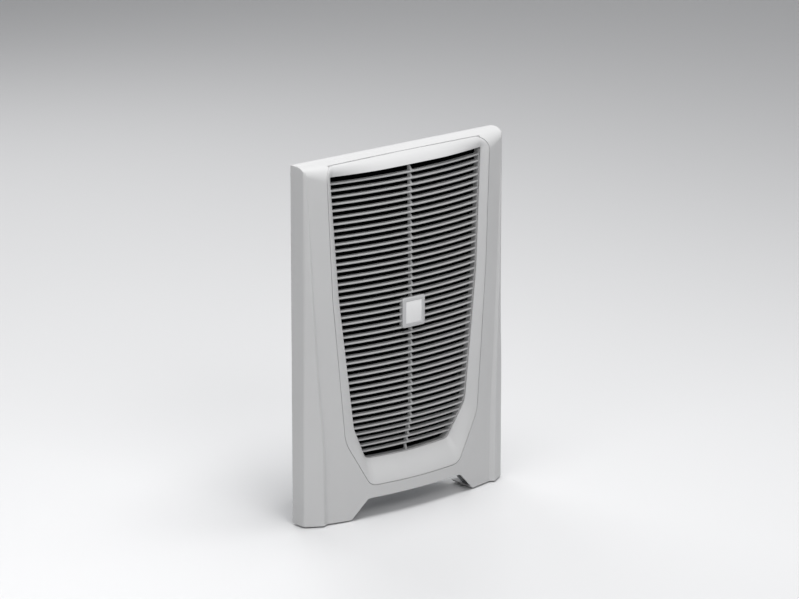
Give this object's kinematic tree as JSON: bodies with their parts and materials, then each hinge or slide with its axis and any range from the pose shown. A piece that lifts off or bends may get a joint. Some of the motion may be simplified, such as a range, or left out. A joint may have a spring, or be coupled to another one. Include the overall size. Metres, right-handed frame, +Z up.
{
  "type": "enclosure cooling unit",
  "caption": "Recessed cooling unit for an equipment enclosure: moulded grey cover with a curved louvred grille, on a flanged housing that holds the refrigerant circuit, fans and controls.",
  "frame": {"origin": "centre of the four wall studs, on the plane of the enclosure wall's outer face", "axes": "+Y into the enclosure along the studs, +Z up, so the louvred front faces -Y and +X is to its right seen from the front"},
  "size_m": [0.4, 0.1595, 0.5635],
  "materials": {
    "cover_plastic": "fine satin moulding",
    "louvre_plastic": "fine satin moulding",
    "badge_frame": "satin",
    "badge_plate": "plain white, no print",
    "dark_plastic": "black moulding",
    "grey_plastic": "moulded",
    "filter_foam": "open-cell mat",
    "galvanised_sheet": "galvanised sheet",
    "steel": "zinc plated",
    "gasket_rubber": "closed-cell strip",
    "insulation": "closed-cell sheet",
    "coil_fins": "mill finish",
    "copper_tube": "copper tube, polished",
    "black_enamel": "black enamel",
    "motor_iron": "bare",
    "rotor_steel": "ground",
    "board_green": "lacquered board",
    "capacitor_can": "drawn can"
  },
  "bodies": {
    "unit": {"surround_cover": "cover_plastic", "inner_frame": "grey_plastic", "filter_frame": "dark_plastic", "filter_mat": "filter_foam", "cover_screws": "steel", "mounting_flange": "galvanised_sheet", "flange_gasket": "gasket_rubber", "wall_studs": "steel", "rear_housing": "galvanised_sheet", "housing_sides": "galvanised_sheet", "housing_ends": "galvanised_sheet", "partition_plate": "galvanised_sheet", "insulation_sheet": "insulation", "inlet_grille": "dark_plastic", "outlet_grille": "dark_plastic", "condenser_fins": "coil_fins", "condenser_tubes": "copper_tube", "condenser_end_plates": "galvanised_sheet", "condenser_shroud": "galvanised_sheet", "condenser_fan_frame": "dark_plastic", "condenser_fan_guard": "steel", "evaporator_fins": "coil_fins", "evaporator_tubes": "copper_tube", "evaporator_end_plates": "galvanised_sheet", "evaporator_fan_frame": "dark_plastic", "evaporator_fan_guard": "steel", "compressor_shell": "black_enamel", "compressor_stator": "motor_iron", "compressor_block": "motor_iron", "compressor_base": "black_enamel", "compressor_grommets": "gasket_rubber", "compressor_bolts": "steel", "terminal_cover": "dark_plastic", "accumulator": "black_enamel", "filter_drier": "copper_tube", "capillary_tube": "copper_tube", "discharge_pipe": "copper_tube", "liquid_pipe": "copper_tube", "suction_pipe": "copper_tube", "condensate_tray": "dark_plastic", "drain_spout": "grey_plastic", "control_box": "galvanised_sheet", "control_lid": "galvanised_sheet", "control_board": "board_green", "run_capacitor": "capacitor_can", "power_socket": "dark_plastic", "cable_gland": "dark_plastic", "temperature_sensor": "dark_plastic"},
    "grille": {"grille_bezel": "cover_plastic", "louvre_grille": "louvre_plastic", "badge_holder": "badge_frame", "badge_plate": "badge_plate", "bezel_clips": "dark_plastic"},
    "condenser_rotor": {"condenser_impeller": "dark_plastic"},
    "evaporator_rotor": {"evaporator_impeller": "dark_plastic"},
    "motor_rotor": {"compressor_rotor": "rotor_steel"}
  },
  "joints": [
    {"name": "grille_pull", "type": "slide", "parent": "unit", "child": "grille", "axis": [0, -1, 0], "range_m": [0, 0.04]},
    {"name": "condenser_fan_spin", "type": "hinge", "parent": "unit", "child": "condenser_rotor", "pos_m": [0, 0.0447, 0.1063], "axis": [0, 1, 0], "continuous": true},
    {"name": "evaporator_fan_spin", "type": "hinge", "parent": "unit", "child": "evaporator_rotor", "pos_m": [0, 0.0808, 0.1795], "axis": [0, 1, 0], "continuous": true},
    {"name": "motor_spin", "type": "hinge", "parent": "unit", "child": "motor_rotor", "pos_m": [-0.048, 0.046, -0.1505], "axis": [0, 0, 1], "continuous": true}
  ]
}
